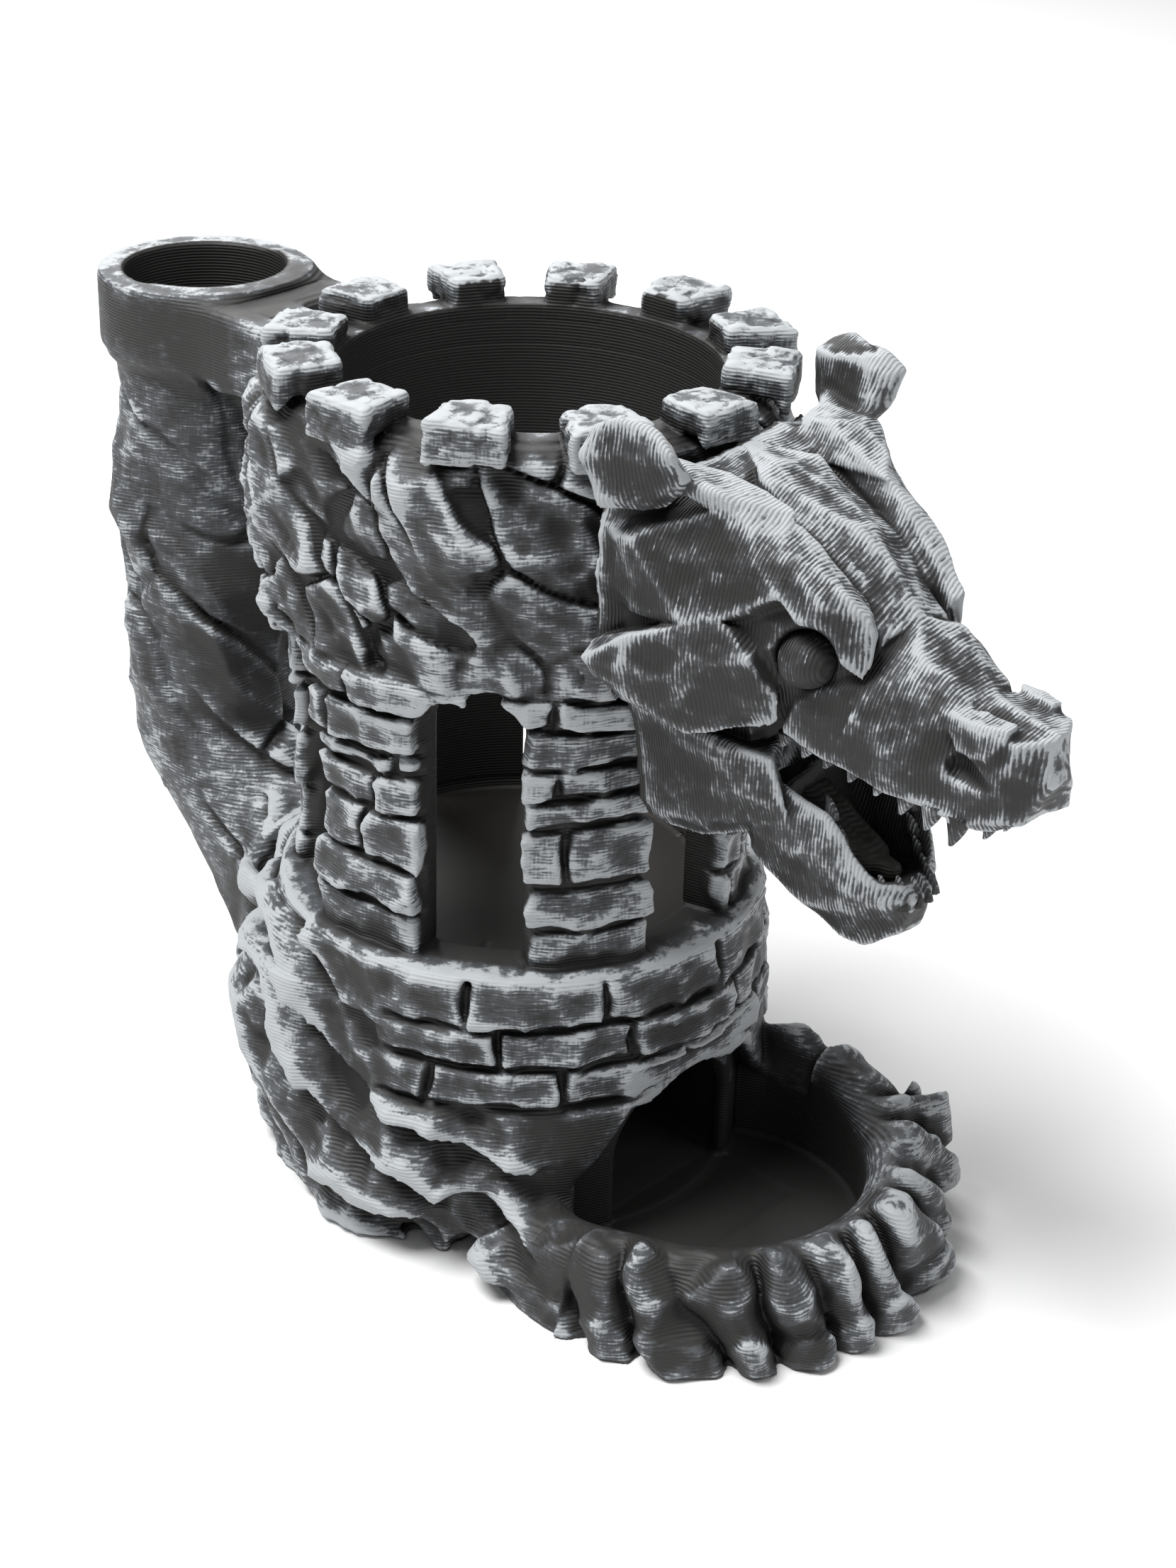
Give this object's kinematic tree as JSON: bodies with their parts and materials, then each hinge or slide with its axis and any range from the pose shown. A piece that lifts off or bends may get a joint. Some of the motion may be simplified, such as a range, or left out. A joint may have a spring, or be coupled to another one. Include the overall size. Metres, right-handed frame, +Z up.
{
  "type": "dice tower",
  "caption": "Castle-keep dice tower: round can socket over a dice chamber, hollow rock column feeding it, rock tray in front, and a pull-off beast head on the wall.",
  "frame": {"origin": "on the ground under the tower's axis", "axes": "+Z up along the can socket's axis, -Y towards the dice tray and the beast head, +X to the head's left"},
  "size_m": [0.0975, 0.2197, 0.1717],
  "materials": {
    "stone_print": "dark grey printed plastic, dry-brushed pale grey on its edges",
    "head_print": "dark grey printed plastic with visible layer lines, dry-brushed on its ridges",
    "bare_print": "bare dark grey printed plastic"
  },
  "bodies": {
    "tower": {"foot_plate": "bare_print", "dice_ramp": "bare_print", "drum_left": "stone_print", "drum_right": "stone_print", "rear_rock": "stone_print", "exit_arch": "stone_print", "rock_ledges": "stone_print", "brick_course_low": "stone_print", "brick_course_mid": "stone_print", "brick_course_top": "stone_print", "socket_floor": "bare_print", "window_sill": "stone_print", "pillar_1": "stone_print", "pillar_2": "stone_print", "pillar_3": "stone_print", "pillar_4": "stone_print", "pillar_5": "stone_print", "pillar_6": "stone_print", "window_arches": "stone_print", "upper_wall": "stone_print", "rock_face_left": "stone_print", "rock_face_right": "stone_print", "rim_ledge": "stone_print", "merlon_1": "stone_print", "merlon_2": "stone_print", "merlon_3": "stone_print", "merlon_4": "stone_print", "merlon_5": "stone_print", "merlon_6": "stone_print", "merlon_7": "stone_print", "merlon_8": "stone_print", "merlon_9": "stone_print", "merlon_10": "stone_print", "merlon_11": "stone_print", "merlon_12": "stone_print", "head_seat": "stone_print", "bridge": "stone_print", "column_collar": "stone_print", "column_shaft": "stone_print", "column_elbow": "stone_print", "tray_rim_left": "stone_print", "tray_rim_right": "stone_print", "tray_claws": "stone_print", "tray_boulders": "stone_print"},
    "head": {"skull": "head_print", "snout": "head_print", "nose": "head_print", "brow_left": "head_print", "brow_right": "head_print", "eyes": "bare_print", "ear_left": "head_print", "ear_right": "head_print", "cheek_left": "head_print", "cheek_right": "head_print", "upper_teeth": "head_print", "lower_jaw": "head_print", "lower_teeth": "head_print", "tongue": "bare_print", "head_pegs": "bare_print"}
  },
  "joints": [
    {"name": "head_pull", "type": "slide", "parent": "tower", "child": "head", "axis": [0, -1, 0], "range_m": [0, 0.03]}
  ]
}
